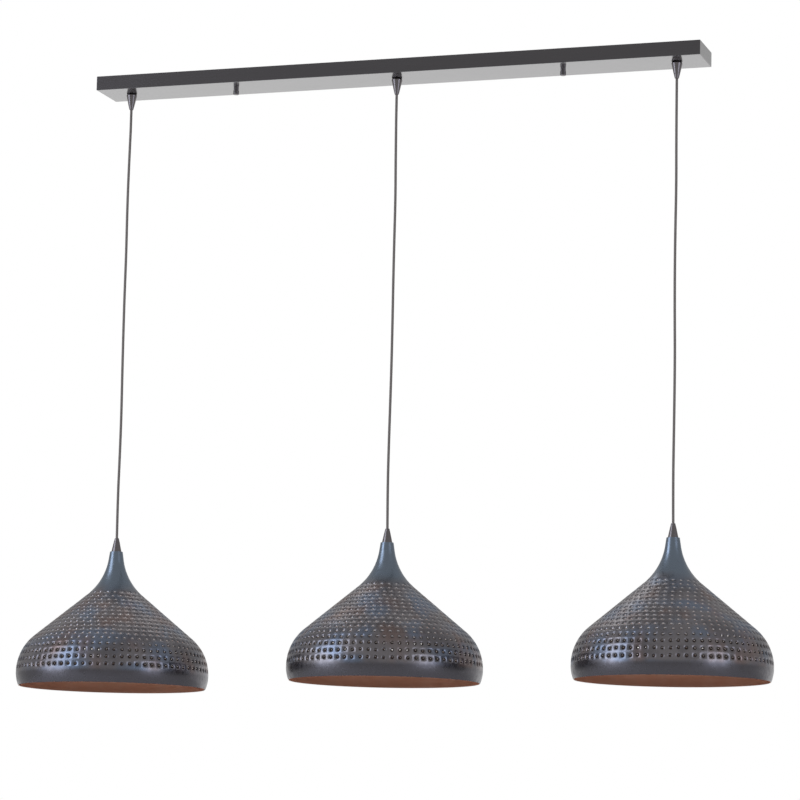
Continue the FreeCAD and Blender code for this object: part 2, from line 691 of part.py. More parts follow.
def make_lampholder(side, x, seat):
    """Cap, skirt, insulating core, screw shell and centre contact, from the top down."""
    z = f"{seat} - sizes.holder_drop"
    cap_radius = "sizes.holder_diameter / 2"
    cap_bore = "(sizes.holder_diameter / 2 - sizes.holder_wall)"
    boss = "-sizes.holder_boss_height"
    roof = "(-sizes.holder_boss_height - sizes.holder_roof)"
    cap_edge = "-sizes.holder_cap_height"
    cap = new_body(f"lampholder_cap_{side}", x, z)
    turn(cap, [
        (THREAD_HOLE, "0"),
        ("sizes.holder_boss_diameter / 2", "0"),
        ("sizes.holder_boss_diameter / 2", boss),
        (cap_radius, boss, "sizes.holder_round"),
        (cap_radius, cap_edge),
        (cap_bore, cap_edge),
        (cap_bore, roof, "sizes.holder_round - sizes.holder_wall"),
        (THREAD_HOLE, roof),
    ])
    spigot = f"({cap_bore} - sizes.thread_clearance)"
    spigot_top = "(-sizes.holder_cap_height + sizes.holder_spigot_height)"
    mouth = "(-sizes.holder_cap_height - sizes.holder_skirt_height)"
    shell_radius = "(sizes.screw_shell_bore / 2 + sizes.screw_shell_wall)"
    skirt_bore = f"({shell_radius} + sizes.screw_shell_gap)"
    skirt = new_body(f"lampholder_skirt_{side}", x, z)
    turn(skirt, [
        (skirt_bore, mouth),
        ("sizes.holder_mouth_diameter / 2", mouth, "sizes.holder_wall / 2"),
        (cap_radius, cap_edge),
        (spigot, cap_edge),
        (spigot, spigot_top),
        (skirt_bore, spigot_top),
    ])
    core_radius = f"({skirt_bore} - sizes.thread_clearance)"
    core_top = f"({spigot_top} + sizes.holder_flange_height)"
    core_foot = f"({spigot_top} - sizes.holder_core_height)"
    recess_radius = "(sizes.contact_diameter / 2 + sizes.hole_clearance)"
    recess_top = f"({core_foot} + sizes.contact_recess)"
    core = new_body(f"lampholder_core_{side}", x, z)
    turn(core, [
        ("0", recess_top),
        (recess_radius, recess_top),
        (recess_radius, core_foot),
        (core_radius, core_foot),
        (core_radius, spigot_top),
        (spigot, spigot_top),
        (spigot, core_top),
        ("0", core_top),
    ])
    shell_end = f"({core_foot} - sizes.screw_shell_height)"
    shell = new_body(f"screw_shell_{side}", x, z)
    turn(shell, [
        ("sizes.screw_shell_bore / 2", shell_end),
        (shell_radius, shell_end),
        (shell_radius, core_foot),
        ("sizes.screw_shell_opening / 2", core_foot),
        ("sizes.screw_shell_opening / 2", f"{core_foot} - sizes.screw_shell_wall"),
        ("sizes.screw_shell_bore / 2", f"{core_foot} - sizes.screw_shell_wall"),
    ])
    contact = new_body(f"centre_contact_{side}", x, z)
    turn(contact, [
        ("0", recess_top),
        ("0", f"{core_foot} - sizes.contact_stand"),
        ("sizes.contact_diameter / 4", f"{core_foot} - sizes.contact_stand"),
        ("sizes.contact_diameter / 2", f"{recess_top} - sizes.contact_recess / 2"),
        ("sizes.contact_diameter / 2", recess_top),
    ])
    return f"{z} + {core_top}"


def make_pendant(side, x, drop):
    """One cord with everything that hangs on it."""
    seat = f"({UNDERSIDE} - {drop} - sizes.grip_height)"
    make_cords(side, x, drop)
    make_grip(f"lower_grip_{side}", x, seat, nose_up=True)
    keep(f"lower_grip_screw_{side}", grip_screw(x, f"{seat} + sizes.grip_screw_height"))
    make_shade(f"shade_{side}", x, seat)
    make_nipple(side, x, seat)
    cord_foot = make_lampholder(side, x, seat)
    mouth = f"({UNDERSIDE} - {drop} - sizes.cord_entry)"
    tail = cylinder("sizes.cord_diameter / 2", f"{mouth} - ({cord_foot})", x, cord_foot)
    keep(f"holder_cord_{side}", tail)


make_canopy()
make_bracket()
make_studs()
make_thumb_nut("thumb_nut_left", "-sizes.stud_spacing / 2")
make_thumb_nut("thumb_nut_right", "sizes.stud_spacing / 2")
make_upper_grips()
make_terminal_block()
make_terminal_screws()
make_earth_stud()
make_inner_cords()
for pendant_side, (pendant_x, pendant_drop) in PENDANTS.items():
    make_pendant(pendant_side, pendant_x, pendant_drop)
doc.recompute()

for item in doc.Objects:
    if "Invalid" in item.State or "Error" in item.State:
        raise RuntimeError(f"{item.Name} did not build")
    if item.isDerivedFrom("Sketcher::SketchObject") and not item.FullyConstrained:
        raise RuntimeError(f"{item.Name} has free points")
for part in subparts:
    if part.Shape.isNull() or not part.Shape.isValid():
        raise RuntimeError(f"{part.Label} has no sound shape")

os.makedirs("parts", exist_ok=True)
for part in subparts:
    part.Shape.exportStep(os.path.join("parts", f"{part.Label}.step"))
print(len(subparts), "sub-parts written")
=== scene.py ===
import math

import bmesh
import bpy
import numpy as np
from mathutils import Matrix, Vector


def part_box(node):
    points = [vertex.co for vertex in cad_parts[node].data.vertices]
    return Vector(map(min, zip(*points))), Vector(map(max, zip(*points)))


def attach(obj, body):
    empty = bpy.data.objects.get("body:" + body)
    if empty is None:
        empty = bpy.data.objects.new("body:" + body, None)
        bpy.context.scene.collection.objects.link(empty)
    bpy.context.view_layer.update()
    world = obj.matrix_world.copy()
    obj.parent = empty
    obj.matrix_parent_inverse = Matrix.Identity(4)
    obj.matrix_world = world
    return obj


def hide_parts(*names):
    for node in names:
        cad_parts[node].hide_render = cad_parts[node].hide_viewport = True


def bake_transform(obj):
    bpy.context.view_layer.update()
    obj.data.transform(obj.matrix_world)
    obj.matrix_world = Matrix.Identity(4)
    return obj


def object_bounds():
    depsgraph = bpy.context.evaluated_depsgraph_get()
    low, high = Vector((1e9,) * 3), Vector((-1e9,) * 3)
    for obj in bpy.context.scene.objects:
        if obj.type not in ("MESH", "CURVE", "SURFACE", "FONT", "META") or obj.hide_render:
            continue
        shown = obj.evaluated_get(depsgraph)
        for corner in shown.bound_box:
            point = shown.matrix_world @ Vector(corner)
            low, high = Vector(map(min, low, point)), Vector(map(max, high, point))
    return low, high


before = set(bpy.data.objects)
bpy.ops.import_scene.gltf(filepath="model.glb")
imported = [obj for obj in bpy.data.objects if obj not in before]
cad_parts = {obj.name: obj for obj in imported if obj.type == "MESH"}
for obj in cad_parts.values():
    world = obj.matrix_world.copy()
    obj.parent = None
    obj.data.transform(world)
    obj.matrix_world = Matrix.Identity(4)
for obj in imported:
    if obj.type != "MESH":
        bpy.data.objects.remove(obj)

cad_low, cad_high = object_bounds()

# ---------------------------------------------------------------------------
# Camera.  It stands about 5 m in front of the pendant and 1.4 m below the
# ceiling, a little to the right, and looks slightly up with a long lens.
CAMERA_PLACE = Vector((1.7128, -5.2161, -1.4161))
CAMERA_YAW = 0.3142
CAMERA_PITCH = 0.149
CAMERA_ROLL = -0.0209
CAMERA_LENS = 145.17
SENSOR_WIDTH = 36

bpy.ops.object.select_all(action="DESELECT")
bpy.ops.object.camera_add()
camera = bpy.context.object
camera.name = "camera"
camera.data.sensor_width = SENSOR_WIDTH
camera.data.lens = CAMERA_LENS
turn = Matrix.Rotation(CAMERA_YAW, 4, "Z") @ Matrix.Rotation(CAMERA_PITCH, 4, "X")
turn = turn @ Matrix.Rotation(CAMERA_ROLL, 4, "Y") @ Matrix.Rotation(math.pi / 2, 4, "X")
camera.matrix_world = Matrix.Translation(CAMERA_PLACE) @ turn
camera.data.clip_end = 100
bpy.context.scene.camera = camera
bpy.context.scene.view_settings.view_transform = "Standard"

# ---------------------------------------------------------------------------
# Studio.  A pale floor lies well under the hanging pendant and fades to white
# far out.  Metal mirrors a white room behind and below the pendant, and one
# half as bright elsewhere.
FLOOR_HEIGHT = cad_low.z - 0.75
FLOOR_SIZE = 8
FLOOR_FADE = (1.2, 3.4)
ROOM_LEVEL = 0.5
BRIGHT_SIDE = (0.0, 0.6, -0.8)
BRIGHT_EDGE = (0.3, 0.64)


def linear(code):
    """An sRGB hex colour as linear red, green, blue and alpha."""
    parts = [int(code[i:i + 2], 16) / 255 for i in (1, 3, 5)]
    return [c / 12.92 if c < 0.04045 else ((c + 0.055) / 1.055) ** 2.4 for c in parts] + [1.0]


def add_node(tree, kind, settings=None, links=None):
    """Adds a shader node.  settings go to its properties or inputs, links join inputs to outputs."""
    made = tree.nodes.new(kind)
    for key, value in (settings or {}).items():
        if isinstance(key, str) and hasattr(made, key):
            setattr(made, key, value)
        else:
            made.inputs[key].default_value = value
    for key, source in (links or {}).items():
        tree.links.new(source, made.inputs[key])
    return made


world = bpy.data.worlds.new("studio_room")
world.use_nodes = True
bpy.context.scene.world = world
room = world.node_tree
room.nodes.clear()
paths = add_node(room, "ShaderNodeLightPath")
seen = add_node(room, "ShaderNodeMath", {"operation": "MAXIMUM"}, {
    0: paths.outputs["Is Camera Ray"], 1: paths.outputs["Is Transmission Ray"]})
level = add_node(room, "ShaderNodeMapRange", {"To Min": ROOM_LEVEL, "To Max": 1.0}, {
    "Value": seen.outputs[0]})
way = add_node(room, "ShaderNodeTexCoord")
facing = add_node(room, "ShaderNodeVectorMath", {"operation": "DOT_PRODUCT", 1: BRIGHT_SIDE}, {
    0: way.outputs["Generated"]})
mirrored = add_node(room, "ShaderNodeMapRange", {
    "interpolation_type": "SMOOTHSTEP", "From Min": BRIGHT_EDGE[0], "From Max": BRIGHT_EDGE[1],
    "To Min": ROOM_LEVEL}, {"Value": facing.outputs["Value"]})
level = add_node(room, "ShaderNodeMix", links={
    0: paths.outputs["Is Glossy Ray"], 2: level.outputs["Result"], 3: mirrored.outputs["Result"]})
sky = add_node(room, "ShaderNodeBackground", {"Color": (1, 1, 1, 1)}, {
    "Strength": level.outputs[0]})
add_node(room, "ShaderNodeOutputWorld", links={"Surface": sky.outputs[0]})

bpy.ops.mesh.primitive_plane_add(size=FLOOR_SIZE, location=(0, 0, FLOOR_HEIGHT))
floor = bpy.context.object
floor.name = "studio_floor"
pale = bpy.data.materials.new("matt_white_paper")
pale.use_nodes = True
sheet = pale.node_tree
paper = sheet.nodes["Principled BSDF"]
paper.inputs["Roughness"].default_value = 0.9
paper.inputs["Base Color"].default_value = linear("#f4f4f4")
paths = add_node(sheet, "ShaderNodeLightPath")
spot = add_node(sheet, "ShaderNodeTexCoord")
far = add_node(sheet, "ShaderNodeVectorMath", {"operation": "LENGTH"}, {0: spot.outputs["Object"]})
fade = add_node(sheet, "ShaderNodeMapRange", {
    "interpolation_type": "SMOOTHSTEP", "From Min": FLOOR_FADE[0], "From Max": FLOOR_FADE[1]}, {
    "Value": far.outputs["Value"]})
shown = add_node(sheet, "ShaderNodeMath", {"operation": "MULTIPLY"}, {
    0: fade.outputs[0], 1: paths.outputs["Is Camera Ray"]})
white = add_node(sheet, "ShaderNodeEmission", {"Color": (1, 1, 1, 1), "Strength": 1.0})
faded = add_node(sheet, "ShaderNodeMixShader", links={
    0: shown.outputs[0], 1: paper.outputs[0], 2: white.outputs[0]})
underneath = add_node(sheet, "ShaderNodeNewGeometry").outputs["Backfacing"]
clear = add_node(sheet, "ShaderNodeBsdfTransparent")
ground = add_node(sheet, "ShaderNodeMixShader", links={
    0: underneath, 1: faded.outputs[0], 2: clear.outputs[0]})
sheet.links.new(ground.outputs[0], sheet.nodes["Material Output"].inputs["Surface"])
floor.data.materials.append(pale)


def soft_box(name, place, aim, size, power, tint="#ffffff"):
    """A large area light that looks at a point."""
    bpy.ops.object.light_add(type="AREA", location=place)
    lamp = bpy.context.object
    lamp.name = name
    lamp.rotation_euler = (Vector(aim) - Vector(place)).to_track_quat("-Z", "Y").to_euler()
    lamp.data.shape = "RECTANGLE"
    lamp.data.size, lamp.data.size_y = size
    lamp.data.energy = power
    lamp.data.color = linear(tint)[:3]


soft_box("key_left", (-3.4, -2.6, 0.4), (0, 0, -0.9), (2.2, 4.0), 84, "#dfe8f8")
soft_box("fill_right", (3.8, -1.6, -0.6), (0, 0, -0.9), (1.6, 2.0), 20, "#e4ecff")
soft_box("back_top", (-1.2, 2.4, 2.2), (0, 0, -0.6), (2.4, 1.2), 12)

# ---------------------------------------------------------------------------
# Canopy.  A long tray folded from steel sheet, brushed lengthwise, plated in
# black nickel and lacquered.  It mirrors the room softly, so its underside
# looks pale at a shallow angle and its front looks nearly black.
BRUSH_MM = (90, 0.8, 0.8)
CLOUD_MM = (140, 60, 60)


def new_material(name):
    """An empty node material with one Principled shader."""
    material = bpy.data.materials.new(name)
    material.use_nodes = True
    tree = material.node_tree
    return material, tree, tree.nodes["Principled BSDF"]


def pattern_space(tree, size_mm, source=None):
    """Object coordinates, or another vector, divided by a real size along each axis."""
    if source is None:
        source = add_node(tree, "ShaderNodeTexCoord").outputs["Object"]
    scale = [1000 / size for size in size_mm]
    return add_node(tree, "ShaderNodeMapping", {"Scale": scale}, {"Vector": source}).outputs[0]


def noise(tree, size_mm, detail, source=None, roughness=0.5):
    """Soft noise from 0 to 1, with its size in millimetres along each axis."""
    return add_node(tree, "ShaderNodeTexNoise", {
        "Scale": 1.0, "Detail": detail, "Roughness": roughness}, {
        "Vector": pattern_space(tree, size_mm, source)}).outputs["Fac"]


def blend_colour(tree, share, under, over):
    """Lays a colour over another one.  Either may be a hex code or an output."""
    settings = {"data_type": "RGBA"}
    links = {0: share}
    for index, colour in ((6, under), (7, over)):
        if isinstance(colour, str):
            settings[index] = linear(colour)
        else:
            links[index] = colour
    return add_node(tree, "ShaderNodeMix", settings, links).outputs[2]


def paint(tree, shader, colour):
    """Joins a colour output to the shader."""
    tree.links.new(colour, shader.inputs["Base Color"])


def emboss(tree, shader, height, strength, distance):
    """Fine relief from a height output."""
    relief = add_node(tree, "ShaderNodeBump", {"Strength": strength, "Distance": distance}, {
        "Height": height})
    tree.links.new(relief.outputs[0], shader.inputs["Normal"])


def dress(node, material):
    """Gives a CAD node its material."""
    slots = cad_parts[node].data.materials
    slots.clear()
    slots.append(material)


brushed_nickel, tree, shader = new_material("brushed_black_nickel")
shader.inputs["Metallic"].default_value = 1.0
strokes = noise(tree, BRUSH_MM, 4.0, roughness=0.6)
paint(tree, shader, blend_colour(tree, strokes, "#403d41", "#4e4b4e"))
for socket, value in (("Coat Weight", 1.0), ("Coat Roughness", 0.12), ("Coat IOR", 1.6)):
    shader.inputs[socket].default_value = value
sheen = add_node(tree, "ShaderNodeMapRange", {"To Min": 0.2, "To Max": 0.28}, {
    "Value": noise(tree, CLOUD_MM, 3.0)})
tree.links.new(sheen.outputs[0], shader.inputs["Roughness"])
emboss(tree, shader, strokes, 0.06, 0.00003)
dress("canopy", brushed_nickel)

# ---------------------------------------------------------------------------
# Cord grips, their grub screws and the hand nuts.  Turned from brass on a
# lathe, then plated in glossy black nickel; faint turning rings remain.
TURNING_MM = (30, 30, 0.35)

turned_nickel, tree, shader = new_material("turned_black_nickel")
shader.inputs["Metallic"].default_value = 1.0
shader.inputs["Roughness"].default_value = 0.26
rings = noise(tree, TURNING_MM, 2.0)
paint(tree, shader, blend_colour(tree, rings, "#6a6668", "#7d7879"))
emboss(tree, shader, rings, 0.15, 0.00004)
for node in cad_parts:
    if "grip" in node or node.startswith("thumb_nut"):
        dress(node, turned_nickel)

# ---------------------------------------------------------------------------
# Bracket, studs, nuts and washers.  Zinc plated steel: a pale, slightly
# bluish grey with the small crystals of the zinc just visible.
CRYSTAL_MM = (2.5, 2.5, 2.5)

zinc, tree, shader = new_material("zinc_plated_steel")
shader.inputs["Metallic"].default_value = 1.0
shader.inputs["Roughness"].default_value = 0.38
crystals = add_node(tree, "ShaderNodeTexVoronoi", {"Scale": 1.0}, {
    "Vector": pattern_space(tree, CRYSTAL_MM)})
paint(tree, shader, blend_colour(tree, crystals.outputs["Color"], "#a7abb0", "#c3c7ca"))
for node in ("ceiling_bracket", "bracket_studs", "stud_nuts", "canopy_lock_nuts", "canopy_washers"):
    dress(node, zinc)
for side in ("left", "centre", "right"):
    dress(f"nipple_nuts_{side}", zinc)

# ---------------------------------------------------------------------------
# Threaded tubes, lamp screw shells, contacts and terminal screws.  Plain
# turned or pressed brass, lightly tarnished in patches.
TARNISH_MM = (12, 12, 12)

brass, tree, shader = new_material("plain_brass")
shader.inputs["Metallic"].default_value = 1.0
shader.inputs["Roughness"].default_value = 0.3
paint(tree, shader, blend_colour(tree, noise(tree, TARNISH_MM, 5.0), "#b08d57", "#d9b978"))
for node in ("canopy_nipples", "terminal_screws", "earth_stud", "earth_nuts"):
    dress(node, brass)
for side in ("left", "centre", "right"):
    for part in ("nipple", "screw_shell", "centre_contact"):
        dress(f"{part}_{side}", brass)

# ---------------------------------------------------------------------------
# Lampholder cap and skirt.  Pressed from black phenolic resin: hard, smooth
# and glossy, with the slight waviness of a moulded skin.
RIPPLE_MM = (7, 7, 7)

resin, tree, shader = new_material("black_phenolic")
shader.inputs["Base Color"].default_value = linear("#1d1b1a")
shader.inputs["Roughness"].default_value = 0.28
emboss(tree, shader, noise(tree, RIPPLE_MM, 1.0), 0.2, 0.0002)
for side in ("left", "centre", "right"):
    dress(f"lampholder_cap_{side}", resin)
    dress(f"lampholder_skirt_{side}", resin)

# ---------------------------------------------------------------------------
# Lampholder cores and the terminal block.  Glazed white porcelain with a few
# fine grey specks in the glaze.
SPECK_MM = (1.2, 1.2, 1.2)

porcelain, tree, shader = new_material("glazed_porcelain")
shader.inputs["Roughness"].default_value = 0.22
few = add_node(tree, "ShaderNodeMapRange", {"From Min": 0.66, "From Max": 0.74}, {
    "Value": noise(tree, SPECK_MM, 2.0)})
paint(tree, shader, blend_colour(tree, few.outputs[0], "#e9e6de", "#b9b4a8"))
dress("terminal_block", porcelain)
for side in ("left", "centre", "right"):
    dress(f"lampholder_core_{side}", porcelain)

# ---------------------------------------------------------------------------
# Cords.  A round flex with a tight dark grey woven sleeve.  Each hangs almost
# straight from the upper grip; its first 40 mm are a separate piece.
CORD_DIAMETER = 0.0045
CORD_SIDES = 16
ROUTE_STEPS = 6
BRAID_MM = 3.157
GRIP_MOUTH = -0.054
BEND_END = -0.094

woven, tree, shader = new_material("woven_flex_sleeve")
shader.inputs["Roughness"].default_value = 0.75
threads = add_node(tree, "ShaderNodeTexWave", {
    "wave_type": "BANDS", "bands_direction": "DIAGONAL", "Scale": 1.0, "Distortion": 1.0}, {
    "Vector": pattern_space(tree, (BRAID_MM * 5 / math.pi,) * 3)})
paint(tree, shader, blend_colour(tree, threads.outputs["Fac"], "#6d6764", "#7d7774"))
emboss(tree, shader, threads.outputs["Fac"], 0.12, 0.0001)


def hanging_tube(name, route):
    """A round cord along the smooth line that a few points guide.  Returns it and its path."""
    curve = bpy.data.curves.new(name, "CURVE")
    curve.dimensions = "3D"
    spline = curve.splines.new("NURBS")
    spline.points.add(len(route) - 1)
    for point, spot in zip(spline.points, route):
        point.co = (*spot, 1)
    spline.order_u = 3
    spline.use_endpoint_u = True
    curve.resolution_u = ROUTE_STEPS
    guide = bpy.data.objects.new(name, curve)
    line = bpy.data.meshes.new_from_object(guide)
    path = [vertex.co.copy() for vertex in line.vertices]
    bpy.data.objects.remove(guide)
    bpy.data.meshes.remove(line)
    bpy.data.curves.remove(curve)

    bpy.ops.object.select_all(action="DESELECT")
    bpy.ops.mesh.primitive_circle_add(vertices=CORD_SIDES, radius=CORD_DIAMETER / 2)
    cord = bpy.context.object
    cord.name = name
    bpy.ops.object.mode_set(mode="EDIT")
    bpy.ops.mesh.select_all(action="SELECT")
    for _ in path[1:]:
        bpy.ops.mesh.extrude_region_move(TRANSFORM_OT_translate={"value": (0, 0, -1)})
    bpy.ops.object.mode_set(mode="OBJECT")
    for vertex in cord.data.vertices:
        spot = path[round(-vertex.co.z)]
        vertex.co = (vertex.co.x + spot.x, vertex.co.y, spot.z)
    bpy.ops.object.mode_set(mode="EDIT")
    bpy.ops.mesh.select_all(action="SELECT")
    bpy.ops.mesh.normals_make_consistent(inside=False)
    bpy.ops.object.mode_set(mode="OBJECT")
    bpy.ops.object.shade_smooth()
    cord.data.materials.append(woven)
    return cord, path


# Sideways offsets of each hanging cord at even steps from its top to its foot
CORD_WANDER = {
    "left": (0.0, -0.0012, -0.0014, -0.0006, -0.0011, -0.0009, -0.0003, 0.0006, 0.0002, -0.0009, 0.0),
    "centre": (0.0, 0.0006, 0.0018, 0.0012, 0.0010, 0.0012, 0.0010, 0.0002, -0.0008, -0.0012, 0.0),
    "right": (0.0, 0.0, 0.0006, -0.0004, -0.0008, -0.0004, 0.0006, 0.0004, -0.0002, -0.0008, 0.0),
}
for side in ("left", "centre", "right"):
    low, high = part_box(f"cord_{side}")
    x = (low.x + high.x) / 2
    heights = np.linspace(GRIP_MOUTH + 0.002, BEND_END, 3)
    bend, path = hanging_tube(f"cord_bend_{side}_sleeve", [(x, 0, z) for z in heights])
    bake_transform(bend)
    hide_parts(f"cord_bend_{side}")
    heights = np.linspace(BEND_END, low.z, len(CORD_WANDER[side]))
    run, path = hanging_tube(f"cord_{side}_sleeve", [
        (x + offset, 0, z) for offset, z in zip(CORD_WANDER[side], heights)])
    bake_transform(run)
    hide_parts(f"cord_{side}")
    dress(f"inner_cord_{side}", woven)
    dress(f"holder_cord_{side}", woven)

# ---------------------------------------------------------------------------
# Shades.  Each is spun from thin sheet into an onion form, then punched from
# outside by hand, row after row, so that every dent sinks into the metal and
# opens in a small hole.  Patina outside, with painted shade in the low dents and
# painted glints in the high ones; bare copper colour inside, painted dark higher
# up as shade.
SHEET = 0.001
# Radius, height and rounding of each corner of the outline, from the rim up
SHADE_CORNERS = [(0.163, 0.0, 0.0), (0.1675, 0.013, 0.0101), (0.1675, 0.0625, 0.0385),
                 (0.01895, 0.186, 0.0381), (0.01115, 0.238, 0.0)]
ARC_STEPS = 160
NORMAL_STEP = 0.0004
SEAT_DEPTH = 0.004
SEAT_SHEET = 0.0012
SEAT_HOLE = 0.0052
SEAT_PLAY = 0.0006

ROW_COUNT = 17
FIRST_ROW_HEIGHT = 0.031
BELLY_ROW_GAP = 0.0129
CONE_ROW_GAP = 0.0109
BELLY_COUNT = 78
ALIGNED_ROWS = 4
LOWEST_DENT = 0.0053
HIGHEST_DENT = 0.0044
DENT_SPREAD = (0.94, 1.08)
DENT_MARGIN = 0.0001
DENT_DEPTH = 0.38
# Reach and depth of the rings in a dent, as shares of the dent's own
DENT_RINGS = ((0.9, 0.07), (0.6, 0.56), (0.28, 1.0))
CELL_SHARE = 0.88
CELL_STEPS = 3
HOLE_SIDES = 4 * CELL_STEPS
NECK_BANDS = 14
RIM_BANDS = 6
PLACE_ERROR = 0.00035
LARGEST_ERROR = 0.0007
ROW_SWAY = (0.0004, 0.0012)
PHASE_DRIFT = 0.35


def spun_outline():
    """Radius and height of the outer outline from the rim up, and the run along it to each point."""
    points = [Vector(SHADE_CORNERS[0][:2])]
    for before, here, after in zip(SHADE_CORNERS, SHADE_CORNERS[1:], SHADE_CORNERS[2:]):
        corner = Vector(here[:2])
        back = (Vector(before[:2]) - corner).normalized()
        onward = (Vector(after[:2]) - corner).normalized()
        half = back.angle(onward) / 2
        radius = here[2] * math.tan(half)
        centre = corner + (back + onward).normalized() * (radius / math.sin(half))
        first, last = (corner + side * here[2] - centre for side in (back, onward))
        angles = np.unwrap([math.atan2(first.y, first.x), math.atan2(last.y, last.x)])
        for angle in np.linspace(*angles, ARC_STEPS):
            points.append(centre + radius * Vector((math.cos(angle), math.sin(angle))))
    points.append(Vector(SHADE_CORNERS[-1][:2]))
    points = np.array([tuple(point) for point in points])
    return points, np.concatenate([[0], np.cumsum(np.linalg.norm(np.diff(points, axis=0), axis=1))])


outline, runs = spun_outline()


def on_outline(run):
    """Radius, height and outward normal of the outline at each run."""
    radius, height = (np.interp(run, runs, outline[:, i]) for i in (0, 1))
    ahead, behind = np.minimum(run + NORMAL_STEP, runs[-1]), np.maximum(run - NORMAL_STEP, 0)
    rise = np.interp(ahead, runs, outline[:, 1]) - np.interp(behind, runs, outline[:, 1])
    widening = np.interp(ahead, runs, outline[:, 0]) - np.interp(behind, runs, outline[:, 0])
    size = np.hypot(rise, widening)
    return radius, height, rise / size, -widening / size


def join_loops(outer, inner):
    """Four-sided faces between two closed loops of as many points."""
    count = len(outer)
    return [(outer[k], outer[(k + 1) % count], inner[(k + 1) % count], inner[k]) for k in range(count)]


def join_rings(low, high, spots):
    """Faces between two closed rings.  Rings that don't match in number or angle get triangles."""
    low_start, high_start = spots[low[0]][0], spots[high[0]][0]
    if len(low) == len(high) and abs(low_start - high_start) < 1e-6:
        return join_loops(low, high)
    low_step, high_step = 2 * math.pi / len(low), 2 * math.pi / len(high)
    shift = round((low_start - high_start) / high_step)
    high = [high[(k + shift) % len(high)] for k in range(len(high))]
    high_start += shift * high_step
    faces = []
    i = j = 0
    while i < len(low) or j < len(high):
        next_low = low_start + (i + 1) * low_step
        next_high = high_start + (j + 1) * high_step
        here_low, here_high = low[i % len(low)], high[j % len(high)]
        if j == len(high) or (i < len(low) and next_low <= next_high):
            i += 1
            faces.append((here_low, low[i % len(low)], here_high))
        else:
            j += 1
            faces.append((here_low, high[j % len(high)], here_high))
    return faces


def punched_rows(chance):
    """For each row of holes: its run and gap, how many holes from which angle, and how it sways."""
    rows = []
    run = float(np.interp(FIRST_ROW_HEIGHT, outline[:, 1], runs))
    count, start = BELLY_COUNT, chance.uniform(0, 0.1)
    phases = chance.uniform(0, 6.28, 3)
    for row in range(ROW_COUNT):
        share = row / (ROW_COUNT - 1)
        gap = CONE_ROW_GAP + (BELLY_ROW_GAP - CONE_ROW_GAP) * max(0, 1 - 1.6 * share)
        radius = on_outline(run)[0]
        if row >= ALIGNED_ROWS:
            count = round(BELLY_COUNT * radius / SHADE_CORNERS[2][0])
            start = chance.uniform(0, 2 * math.pi / count)
            phases = phases + chance.normal(0, PHASE_DRIFT, 3)
        rows.append((run, gap, count, start, share, phases, radius))
        run += gap
    return rows


def sheet_object(name, points, faces, faces_inside, edges, dents, places):
    """A smooth closed mesh whose faces have three materials: outside, inside and cut edges."""
    mesh = bpy.data.meshes.new(name)
    mesh.from_pydata(points, [], faces + faces_inside + edges)
    mesh.attributes.new("dent", "FLOAT", "POINT").data.foreach_set("value", dents)
    mesh.attributes.new("place", "FLOAT_VECTOR", "POINT").data.foreach_set(
        "vector", [c for place in places for c in place])
    mesh.polygons.foreach_set(
        "material_index", [0] * len(faces) + [1] * len(faces_inside) + [2] * len(edges))
    made = bpy.data.objects.new(name, mesh)
    bpy.context.scene.collection.objects.link(made)
    work = bmesh.new()
    work.from_mesh(mesh)
    bmesh.ops.delete(work, geom=[v for v in work.verts if not v.link_faces], context="VERTS")
    bmesh.ops.recalc_face_normals(work, faces=work.faces)
    work.to_mesh(mesh)
    work.free()
    bpy.ops.object.select_all(action="DESELECT")
    made.select_set(True)
    bpy.context.view_layer.objects.active = made
    bpy.ops.object.shade_smooth_by_angle(angle=math.radians(60))
    return made


